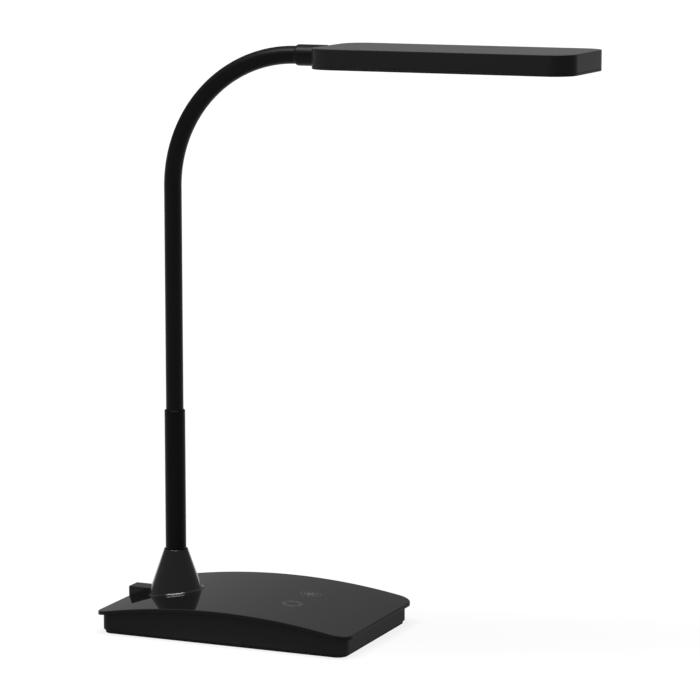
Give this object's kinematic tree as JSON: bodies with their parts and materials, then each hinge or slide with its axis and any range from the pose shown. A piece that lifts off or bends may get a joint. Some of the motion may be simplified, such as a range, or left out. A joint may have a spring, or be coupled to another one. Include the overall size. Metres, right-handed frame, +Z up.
{
  "type": "gooseneck desk lamp",
  "caption": "Desk lamp: flat rectangular light head on a bendable gooseneck, rigid post sleeve with cone collar, and a weighted base with a glossy arched top.",
  "frame": {"origin": "centre of the base's underside, where the rubber pad rests on the desk", "axes": "+Z up; +X from the post towards the light head, along the length of the base; Y across the base, the lamp being alike on both sides"},
  "size_m": [0.4408, 0.162, 0.5335],
  "materials": {
    "rubber_pad": "matt",
    "matte_black": "fine textured moulding",
    "gloss_black": "high gloss",
    "satin_black": "semi-gloss",
    "head_black": "satin moulding",
    "painted_aluminium": "black semi-gloss paint",
    "neck_rubber": "satin silicone sleeve",
    "opal": "opal, unlit",
    "white_plastic": "satin",
    "white_board": "solder mask",
    "circuit_board": "solder mask",
    "chip_black": "moulded",
    "led_yellow": "phosphor",
    "bare_steel": "zinc plated",
    "screw_steel": "zinc plated",
    "black_screw": "black oxide",
    "usb_steel": "nickel plated",
    "bare_aluminium": "bare",
    "brass": "plated contact",
    "wire_skin": "smooth insulation"
  },
  "bodies": {
    "base": {"bottom_pad": "rubber_pad", "base_tray": "matte_black", "ballast_plate": "bare_steel", "ballast_screws": "screw_steel", "top_plate": "gloss_black", "cover_screws": "screw_steel", "port_hood": "satin_black", "usb_shell": "usb_steel", "usb_tongue": "white_plastic", "usb_board": "circuit_board", "inlet_jack": "matte_black", "inlet_pin": "brass", "control_board": "circuit_board", "board_parts": "chip_black", "board_screws": "screw_steel", "touch_springs": "brass", "base_wires": "wire_skin", "post_disc": "bare_steel", "post_washer": "screw_steel", "post_nut": "screw_steel", "neck_stem": "bare_steel", "stem_bush": "bare_aluminium", "sleeve_tube": "painted_aluminium", "collar": "satin_black", "neck_root": "neck_rubber"},
    "neck_01": {"neck_link_01": "neck_rubber"},
    "neck_02": {"neck_link_02": "neck_rubber"},
    "neck_03": {"neck_link_03": "neck_rubber"},
    "neck_04": {"neck_link_04": "neck_rubber"},
    "neck_05": {"neck_link_05": "neck_rubber"},
    "neck_06": {"neck_link_06": "neck_rubber"},
    "neck_07": {"neck_link_07": "neck_rubber"},
    "neck_08": {"neck_link_08": "neck_rubber"},
    "neck_09": {"neck_link_09": "neck_rubber"},
    "neck_10": {"neck_link_10": "neck_rubber"},
    "neck_11": {"neck_link_11": "neck_rubber"},
    "head": {"neck_tip": "neck_rubber", "ferrule": "satin_black", "head_spigot": "bare_steel", "spigot_washer": "screw_steel", "spigot_nut": "screw_steel", "head_shell": "head_black", "heat_plate": "bare_aluminium", "heat_screws": "screw_steel", "led_board": "white_board", "leds": "led_yellow", "reflector": "white_plastic", "diffuser": "opal", "head_bezel": "head_black", "bezel_screws": "black_screw", "head_wires": "wire_skin"}
  },
  "joints": [
    {"name": "neck_lower_lean_01", "type": "hinge", "parent": "base", "child": "neck_01", "pos_m": [-0.08, 0, 0.21277], "axis": [0, 1, 0], "range_deg": [-10, 10]},
    {"name": "neck_lower_sway_02", "type": "hinge", "parent": "neck_01", "child": "neck_02", "pos_m": [-0.08, 0, 0.24431], "axis": [1, 0, 0], "range_deg": [-10, 10]},
    {"name": "neck_lower_lean_03", "type": "hinge", "parent": "neck_02", "child": "neck_03", "pos_m": [-0.08, 0, 0.27585], "axis": [0, 1, 0], "range_deg": [-10, 10]},
    {"name": "neck_lower_sway_04", "type": "hinge", "parent": "neck_03", "child": "neck_04", "pos_m": [-0.08, 0, 0.30739], "axis": [1, 0, 0], "range_deg": [-10, 10]},
    {"name": "neck_lower_lean_05", "type": "hinge", "parent": "neck_04", "child": "neck_05", "pos_m": [-0.08, 0, 0.33892], "axis": [0, 1, 0], "range_deg": [-10, 10]},
    {"name": "neck_lower_sway_06", "type": "hinge", "parent": "neck_05", "child": "neck_06", "pos_m": [-0.08, 0, 0.37046], "axis": [1, 0, 0], "range_deg": [-10, 10]},
    {"name": "neck_upper_bend_07", "type": "hinge", "parent": "neck_06", "child": "neck_07", "pos_m": [-0.08, 0, 0.402], "axis": [0, 1, 0], "range_deg": [-25, 12]},
    {"name": "neck_upper_sway_08", "type": "hinge", "parent": "neck_07", "child": "neck_08", "pos_m": [-0.07506, 0, 0.43637], "axis": [0.9595, 0, -0.2817], "range_deg": [-12, 12]},
    {"name": "neck_upper_bend_09", "type": "hinge", "parent": "neck_08", "child": "neck_09", "pos_m": [-0.06063, 0, 0.46796], "axis": [0, 1, 0], "range_deg": [-25, 12]},
    {"name": "neck_upper_sway_10", "type": "hinge", "parent": "neck_09", "child": "neck_10", "pos_m": [-0.03789, 0, 0.4942], "axis": [0.6549, 0, -0.7557], "range_deg": [-12, 12]},
    {"name": "neck_upper_bend_11", "type": "hinge", "parent": "neck_10", "child": "neck_11", "pos_m": [-0.00868, 0, 0.51297], "axis": [0, 1, 0], "range_deg": [-25, 12]},
    {"name": "neck_upper_sway_12", "type": "hinge", "parent": "neck_11", "child": "head", "pos_m": [0.02464, 0, 0.52276], "axis": [0.1423, 0, -0.9898], "range_deg": [-12, 12]}
  ],
  "couplings": [
    {"joint": "neck_lower_lean_03", "follows": "neck_lower_lean_01", "ratio": 1},
    {"joint": "neck_lower_sway_04", "follows": "neck_lower_sway_02", "ratio": 1},
    {"joint": "neck_lower_lean_05", "follows": "neck_lower_lean_01", "ratio": 1},
    {"joint": "neck_lower_sway_06", "follows": "neck_lower_sway_02", "ratio": 1},
    {"joint": "neck_upper_bend_09", "follows": "neck_upper_bend_07", "ratio": 1},
    {"joint": "neck_upper_sway_10", "follows": "neck_upper_sway_08", "ratio": 1},
    {"joint": "neck_upper_bend_11", "follows": "neck_upper_bend_07", "ratio": 1},
    {"joint": "neck_upper_sway_12", "follows": "neck_upper_sway_08", "ratio": 1}
  ]
}
